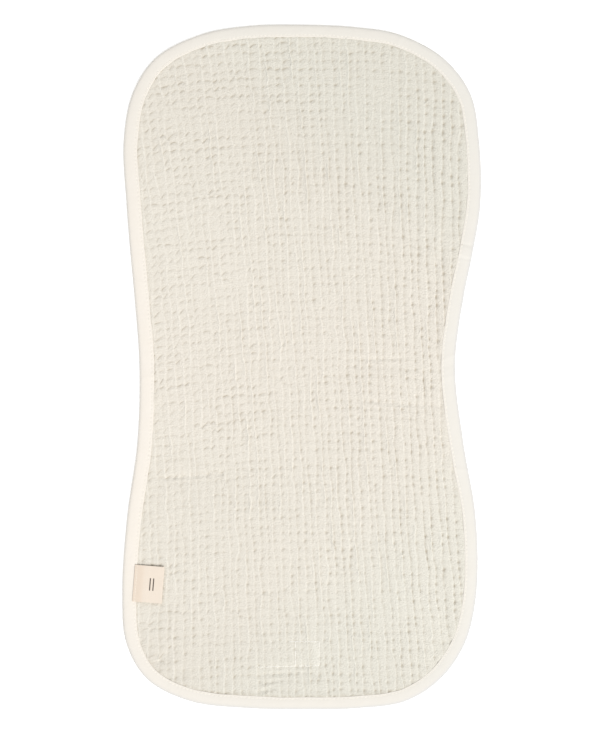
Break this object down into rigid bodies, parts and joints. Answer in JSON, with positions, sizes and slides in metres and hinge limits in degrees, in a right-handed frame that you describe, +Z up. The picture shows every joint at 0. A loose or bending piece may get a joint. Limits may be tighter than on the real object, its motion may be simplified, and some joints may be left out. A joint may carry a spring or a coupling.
{
  "type": "burp cloth",
  "caption": "Flat hourglass cloth of crinkled cotton muslin, bound all round with smooth cotton tape, with a small folded care label.",
  "frame": {"origin": "under the middle of the cloth, on the surface that it lies on", "axes": "+Z up from the surface, +Y along the cloth towards its head, +X to the right seen from above"},
  "size_m": [0.262, 0.5, 0.0046],
  "materials": {
    "muslin": "crinkled cotton gauze, matt",
    "binding_tape": "fine plain woven cotton, matt",
    "label_tape": "smooth woven tape, slight sheen"
  },
  "bodies": {
    "root": {"muslin_panel": "muslin", "edge_binding": "binding_tape", "care_label": "label_tape"}
  },
  "joints": []
}
